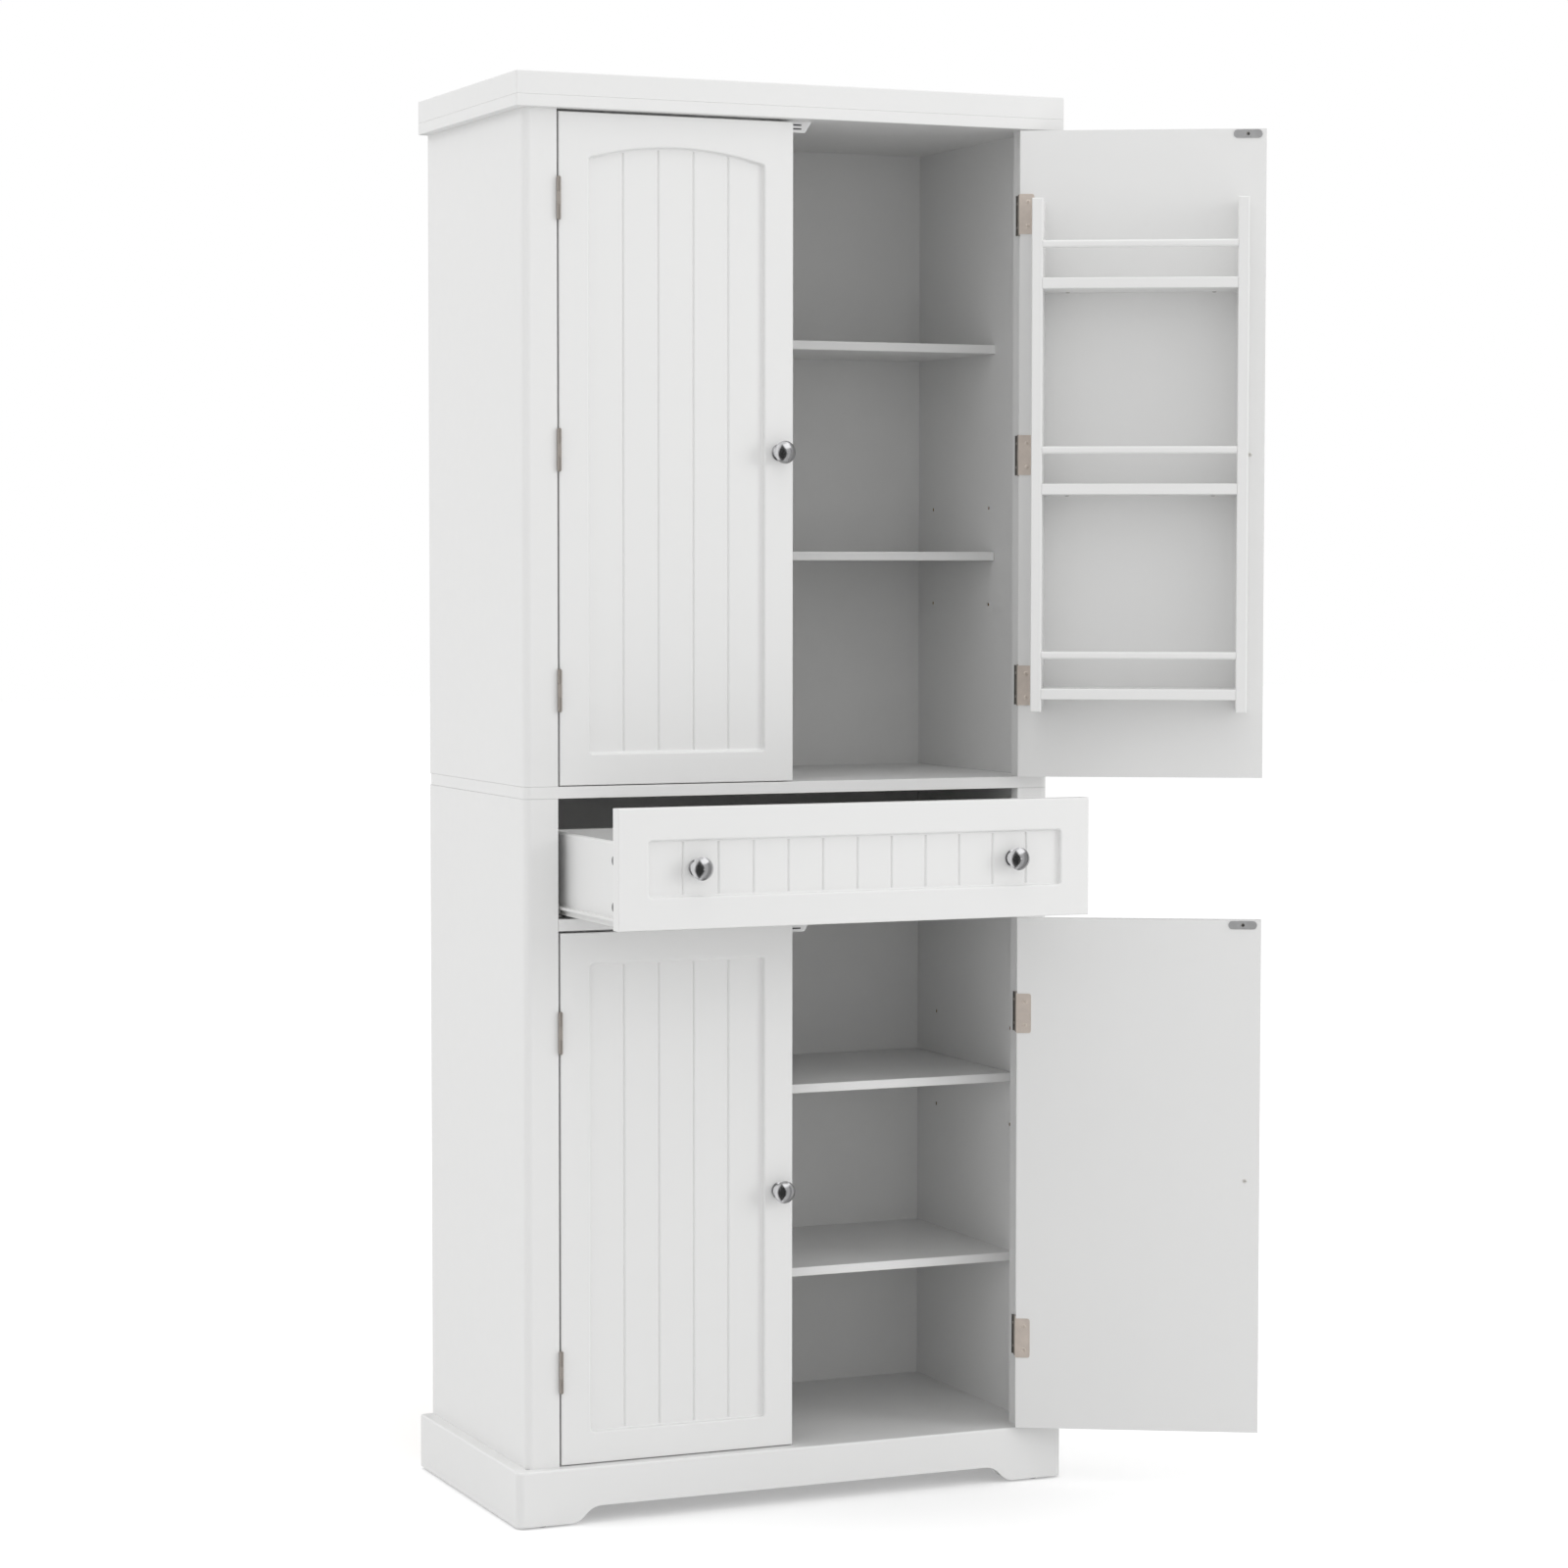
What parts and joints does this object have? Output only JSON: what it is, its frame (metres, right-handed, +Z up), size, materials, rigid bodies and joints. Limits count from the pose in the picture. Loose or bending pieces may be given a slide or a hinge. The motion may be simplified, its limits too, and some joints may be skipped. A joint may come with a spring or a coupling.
{
  "type": "pantry cabinet",
  "caption": "Tall free-standing pantry cabinet: arched planked doors with a door rack and shelves over a drawer and a planked lower cupboard.",
  "frame": {"origin": "middle of the body's footprint on the floor, under the glides", "axes": "+Z up, +X to the right seen from the front, -Y towards the front; the doors and the drawer face -Y"},
  "size_m": [0.9896, 0.6205, 1.83],
  "materials": {
    "painted_board": "satin white paint on fibreboard",
    "back_board": "white faced hardboard",
    "hinge_metal": "satin, warm grey",
    "knob_chrome": "polished",
    "plate_steel": "satin",
    "pin_steel": "satin",
    "catch_plastic": "smooth white",
    "runner_steel": "white powder coat",
    "roller_plastic": "smooth",
    "glide_plastic": "smooth"
  },
  "bodies": {
    "cabinet": {"top_slab": "painted_board", "top_board": "painted_board", "upper_left_side": "painted_board", "upper_right_side": "painted_board", "upper_left_stile": "painted_board", "upper_right_stile": "painted_board", "mid_board": "painted_board", "lower_left_side": "painted_board", "lower_right_side": "painted_board", "lower_left_stile": "painted_board", "lower_right_stile": "painted_board", "drawer_deck": "painted_board", "bottom_board": "painted_board", "plinth_front": "painted_board", "plinth_left": "painted_board", "plinth_right": "painted_board", "foot_glides": "glide_plastic", "upper_back_panel": "back_board", "lower_back_panel": "back_board", "upper_fixed_shelf": "painted_board", "upper_adjustable_shelf": "painted_board", "lower_adjustable_shelf": "painted_board", "lower_fixed_shelf": "painted_board", "shelf_pins": "pin_steel", "catch_housings": "catch_plastic", "catch_pole_plates": "plate_steel", "hinge_frame_leaves": "hinge_metal", "hinge_pins": "hinge_metal", "runner_battens": "painted_board", "cabinet_runners": "runner_steel"},
    "upper_left_leaf": {"upper_left_door": "painted_board", "upper_left_hinge_leaves": "hinge_metal", "upper_left_knob": "knob_chrome", "upper_left_strike_plate": "plate_steel"},
    "upper_right_leaf": {"upper_right_door": "painted_board", "upper_right_hinge_leaves": "hinge_metal", "upper_right_knob": "knob_chrome", "upper_right_strike_plate": "plate_steel", "rack_hinge_side": "painted_board", "rack_latch_side": "painted_board", "rack_shelves": "painted_board", "rack_rails": "painted_board"},
    "lower_left_leaf": {"lower_left_door": "painted_board", "lower_left_hinge_leaves": "hinge_metal", "lower_left_knob": "knob_chrome", "lower_left_strike_plate": "plate_steel"},
    "lower_right_leaf": {"lower_right_door": "painted_board", "lower_right_hinge_leaves": "hinge_metal", "lower_right_knob": "knob_chrome", "lower_right_strike_plate": "plate_steel"},
    "drawer": {"drawer_front": "painted_board", "drawer_left_side": "painted_board", "drawer_right_side": "painted_board", "drawer_back": "painted_board", "drawer_bottom": "back_board", "drawer_knobs": "knob_chrome", "drawer_runners": "runner_steel"},
    "front_rollers": {"runner_front_rollers": "roller_plastic"},
    "rear_rollers": {"runner_rear_rollers": "roller_plastic"}
  },
  "joints": [
    {"name": "upper_left_swing", "type": "hinge", "parent": "cabinet", "child": "upper_left_leaf", "pos_m": [-0.3213, -0.1904, 0], "axis": [0, 0, -1], "range_deg": [0, 180]},
    {"name": "upper_right_swing", "type": "hinge", "parent": "cabinet", "child": "upper_right_leaf", "pos_m": [0.3213, -0.1904, 0], "axis": [0, 0, 1], "range_deg": [-151, 29]},
    {"name": "lower_left_swing", "type": "hinge", "parent": "cabinet", "child": "lower_left_leaf", "pos_m": [-0.3213, -0.1904, 0], "axis": [0, 0, -1], "range_deg": [0, 180]},
    {"name": "lower_right_swing", "type": "hinge", "parent": "cabinet", "child": "lower_right_leaf", "pos_m": [0.3213, -0.1904, 0], "axis": [0, 0, 1], "range_deg": [-151, 29]},
    {"name": "drawer_slide", "type": "slide", "parent": "cabinet", "child": "drawer", "axis": [0, -1, 0], "range_m": [-0.206, 0.019]},
    {"name": "front_roller_spin", "type": "hinge", "parent": "cabinet", "child": "front_rollers", "pos_m": [0, -0.1635, 0.7796], "axis": [1, 0, 0], "range_deg": [-2361, 218]},
    {"name": "rear_roller_spin", "type": "hinge", "parent": "drawer", "child": "rear_rollers", "pos_m": [0, -0.0935, 0.7794], "axis": [1, 0, 0], "range_deg": [-2361, 218]}
  ],
  "couplings": [
    {"joint": "front_roller_spin", "follows": "drawer_slide", "rad_per_m": 200},
    {"joint": "rear_roller_spin", "follows": "drawer_slide", "rad_per_m": 200}
  ]
}
